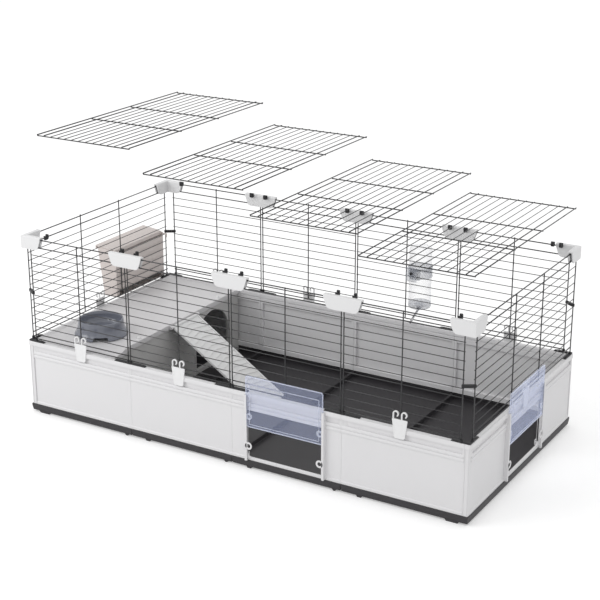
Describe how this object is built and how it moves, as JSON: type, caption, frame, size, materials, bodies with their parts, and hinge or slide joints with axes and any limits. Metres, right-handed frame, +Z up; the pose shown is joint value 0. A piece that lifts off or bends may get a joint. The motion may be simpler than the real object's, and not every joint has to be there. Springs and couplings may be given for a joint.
{
  "type": "rabbit cage",
  "caption": "Long modular rabbit cage with wire walls and lift-off wire roof panels, two sliding doors, shelf with ramp, feeder bowl, bottle and outside hay rack.",
  "frame": {"origin": "on the ground, below the middle of the whole object's box at rest", "axes": "+X along the cage to the right end with the side door, +Y to the back with the bottle, +Z up"},
  "size_m": [1.5096, 0.799, 0.8525],
  "materials": {
    "wall_white": "fine satin grain, injection moulded",
    "tray_dark": "satin, injection moulded",
    "door_clear": "clear with a slight blue tint, polished",
    "wire_black": "black coating on steel wire",
    "cap_white": "satin",
    "clip_white": "satin",
    "fitting_black": "satin",
    "shelf_grey": "satin, injection moulded",
    "partition_grey": "satin",
    "bowl_slate": "satin",
    "steel": "bright drawn steel",
    "bottle_clear": "clear, glossy",
    "rack_taupe": "satin"
  },
  "bodies": {
    "cage": {"back_wall_1": "wall_white", "back_wall_2": "wall_white", "back_wall_3": "wall_white", "back_wall_4": "wall_white", "back_wire_1": "wire_black", "back_wire_2": "wire_black", "back_wire_3": "wire_black", "back_wire_4": "wire_black", "base_tray_1": "tray_dark", "base_tray_2": "tray_dark", "base_tray_3": "tray_dark", "base_tray_4": "tray_dark", "bottle": "bottle_clear", "bottle_cap": "fitting_black", "bottle_holder": "fitting_black", "corner_caps": "cap_white", "corner_clips": "fitting_black", "corner_feet": "fitting_black", "corner_post_1": "wall_white", "corner_post_2": "wall_white", "corner_post_3": "wall_white", "corner_post_4": "wall_white", "drinking_tube": "steel", "front_wall_1": "wall_white", "front_wall_2": "wall_white", "front_wall_3": "wall_white", "front_wall_4": "wall_white", "front_wire_1": "wire_black", "front_wire_2": "wire_black", "front_wire_3": "wire_black", "front_wire_4": "wire_black", "hay_rack": "rack_taupe", "joint_caps": "cap_white", "joint_feet": "fitting_black", "left_side_wall": "wall_white", "left_wire": "wire_black", "ramp_pin": "steel", "right_side_wall": "wall_white", "right_wire": "wire_black", "roof_hooks": "fitting_black", "shelf": "shelf_grey", "shelf_partition": "partition_grey", "shelf_pegs": "clip_white", "wall_clips": "clip_white"},
    "front_door": {"front_door": "door_clear"},
    "side_door": {"side_door": "door_clear"},
    "roof_panel_1": {"roof_panel_1": "wire_black"},
    "roof_panel_2": {"roof_panel_2": "wire_black"},
    "roof_panel_3": {"roof_panel_3": "wire_black"},
    "roof_panel_4": {"roof_panel_4": "wire_black"},
    "ramp": {"ramp": "shelf_grey"},
    "feeder_bowl": {"feeder_bowl": "bowl_slate"},
    "hay_rack_lid": {"hay_rack_lid": "rack_taupe"}
  },
  "joints": [
    {"name": "front_door_lift", "type": "slide", "parent": "cage", "child": "front_door", "axis": [0, 0, 1], "range_m": [-0.098, 0.07]},
    {"name": "side_door_lift", "type": "slide", "parent": "cage", "child": "side_door", "axis": [0, 0, 1], "range_m": [-0.098, 0.07]},
    {"name": "roof_panel_1_lift", "type": "slide", "parent": "cage", "child": "roof_panel_1", "axis": [0.0992, 0, 0.9951], "range_m": [-0.29747, 0]},
    {"name": "roof_panel_2_lift", "type": "slide", "parent": "cage", "child": "roof_panel_2", "axis": [0.2038, 0, 0.979], "range_m": [-0.23799, 0]},
    {"name": "roof_panel_3_lift", "type": "slide", "parent": "cage", "child": "roof_panel_3", "axis": [0.2629, 0, 0.9648], "range_m": [-0.17309, 0]},
    {"name": "roof_panel_4_lift", "type": "slide", "parent": "cage", "child": "roof_panel_4", "axis": [0.2089, 0, 0.9779], "range_m": [-0.11248, 0]},
    {"name": "ramp_hinge", "type": "hinge", "parent": "cage", "child": "ramp", "pos_m": [-0.38075, -0.0075, 0.22], "axis": [0, -1, 0], "range_deg": [0, 75]},
    {"name": "feeder_bowl_lift", "type": "slide", "parent": "cage", "child": "feeder_bowl", "axis": [0, 0, 1], "range_m": [0, 0.12]},
    {"name": "hay_rack_lid_hinge", "type": "hinge", "parent": "cage", "child": "hay_rack_lid", "pos_m": [-0.68475, 0.1675, 0.375], "axis": [0, 1, 0], "range_deg": [0, 80]}
  ]
}
